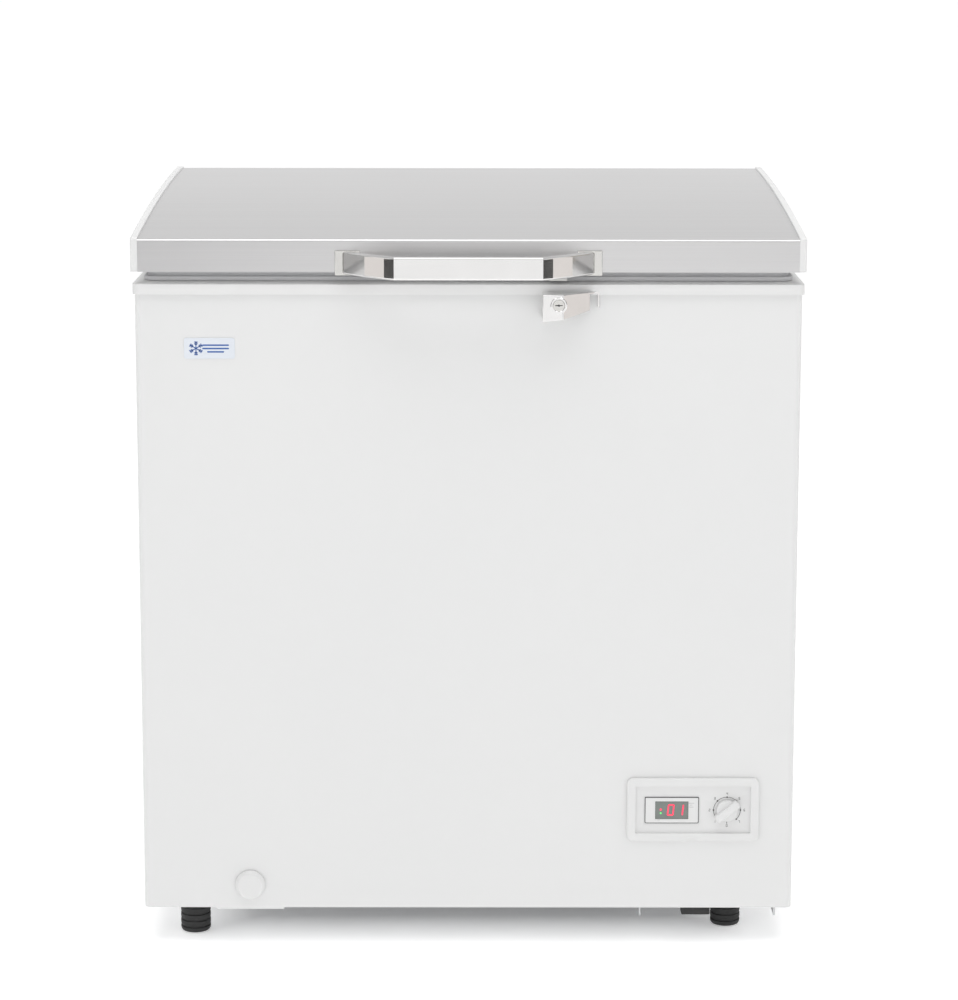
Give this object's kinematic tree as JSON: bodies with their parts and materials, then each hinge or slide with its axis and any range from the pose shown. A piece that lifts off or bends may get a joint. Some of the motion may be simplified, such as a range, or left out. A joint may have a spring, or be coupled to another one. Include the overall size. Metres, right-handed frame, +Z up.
{
  "type": "chest freezer",
  "caption": "Small white chest freezer with an arched stainless lid, bridge handle, key lock, digital display and thermostat dial.",
  "frame": {"origin": "centre of the overall box on the floor, under the feet", "axes": "+Z up, -Y towards the front with the handle, +X to the right seen from the front"},
  "size_m": [0.754, 0.6474, 0.8564],
  "materials": {
    "painted_steel": "white painted sheet",
    "white_plastic": "white moulded plastic",
    "brushed_stainless": "brushed along its length",
    "polished_chrome": "polished",
    "galvanised_steel": "galvanised",
    "white_liner": "white coated, embossed",
    "foam": "rigid foam",
    "copper": "drawn tube",
    "black_steel": "black enamel",
    "black_rubber": "moulded",
    "black_plastic": "ribbed moulding",
    "grey_rubber": "soft seal",
    "dark_grey_plastic": "display frame",
    "tinted_lens": "tinted",
    "label": "printed label",
    "spring_steel": "oiled",
    "zinc_fastener": "zinc plated",
    "coated_wire": "white coated wire"
  },
  "bodies": {
    "cabinet": {"badge": "label", "base_plate_stop": "black_rubber", "bottom_plate": "galvanised_steel", "cabinet_foam": "foam", "cabinet_shell": "painted_steel", "compressor": "black_steel", "compressor_base_plate": "galvanised_steel", "compressor_bolts": "zinc_fastener", "compressor_grommets": "black_rubber", "condenser_coil": "copper", "control_bezel": "white_plastic", "cord_gland": "black_plastic", "display_lens": "tinted_lens", "display_module": "dark_grey_plastic", "drain_tube": "white_plastic", "evaporator_coil": "copper", "filter_drier": "copper", "foot_nuts": "zinc_fastener", "hinge_base_left": "galvanised_steel", "hinge_base_right": "galvanised_steel", "hinge_base_screws": "zinc_fastener", "hinge_pins": "zinc_fastener", "hinge_springs": "spring_steel", "inner_liner": "white_liner", "lock_barrel": "polished_chrome", "lock_housing": "polished_chrome", "machine_bay_wall": "galvanised_steel", "rear_grille": "white_plastic", "rear_grille_screws": "zinc_fastener", "rear_panel": "painted_steel", "relay_cover": "black_plastic", "side_grille": "white_plastic", "thermostat_body": "galvanised_steel", "trim_rail_front": "white_plastic", "trim_rail_left": "white_plastic", "trim_rail_rear": "white_plastic", "trim_rail_right": "white_plastic"},
    "lid": {"lid_skin": "brushed_stainless", "lid_end_cap_left": "white_plastic", "lid_end_cap_right": "white_plastic", "lid_inner_liner": "white_plastic", "lid_foam": "foam", "lid_gasket": "grey_rubber", "handle_bar": "polished_chrome", "handle_pads": "polished_chrome", "handle_screws": "zinc_fastener", "lock_keeper": "zinc_fastener", "hinge_leaf_left": "galvanised_steel", "hinge_leaf_right": "galvanised_steel", "hinge_leaf_screws": "zinc_fastener"},
    "lock": {"lock_cylinder": "polished_chrome", "lock_cam": "zinc_fastener"},
    "knob": {"thermostat_knob": "white_plastic"},
    "outer_drain_cap": {"drain_cap": "white_plastic"},
    "inner_drain_plug": {"drain_plug": "grey_rubber"},
    "basket": {"hanging_basket": "coated_wire"},
    "front_left_foot": {"foot_front_left": "black_plastic"},
    "front_right_foot": {"foot_front_right": "black_plastic"},
    "rear_left_foot": {"foot_rear_left": "black_plastic"},
    "rear_right_foot": {"foot_rear_right": "black_plastic"}
  },
  "joints": [
    {"name": "lid_hinge", "type": "hinge", "parent": "cabinet", "child": "lid", "pos_m": [0, 0.31425, 0.787], "axis": [-1, 0, 0], "range_deg": [0, 80], "stiffness_Nm_per_rad": 8, "springref_deg": 90.01},
    {"name": "lock_turn", "type": "hinge", "parent": "cabinet", "child": "lock", "pos_m": [0.1, -0.26175, 0.7515], "axis": [0, -1, 0], "range_deg": [0, 90]},
    {"name": "knob_turn", "type": "hinge", "parent": "cabinet", "child": "knob", "pos_m": [0.29775, -0.25475, 0.1622], "axis": [0, 1, 0], "range_deg": [-232, 83]},
    {"name": "drain_cap_pull", "type": "slide", "parent": "cabinet", "child": "outer_drain_cap", "axis": [0, -1, 0], "range_m": [0, 0.024]},
    {"name": "drain_plug_pull", "type": "slide", "parent": "cabinet", "child": "inner_drain_plug", "axis": [0, 0, 1], "range_m": [0, 0.02]},
    {"name": "basket_slide", "type": "slide", "parent": "cabinet", "child": "basket", "axis": [1, 0, 0], "range_m": [-0.03, 0.318]},
    {"name": "front_left_foot_adjust", "type": "slide", "parent": "cabinet", "child": "front_left_foot", "axis": [0, 0, -1], "range_m": [0, 0.01]},
    {"name": "front_right_foot_adjust", "type": "slide", "parent": "cabinet", "child": "front_right_foot", "axis": [0, 0, -1], "range_m": [0, 0.01]},
    {"name": "rear_left_foot_adjust", "type": "slide", "parent": "cabinet", "child": "rear_left_foot", "axis": [0, 0, -1], "range_m": [0, 0.01]},
    {"name": "rear_right_foot_adjust", "type": "slide", "parent": "cabinet", "child": "rear_right_foot", "axis": [0, 0, -1], "range_m": [0, 0.01]}
  ]
}
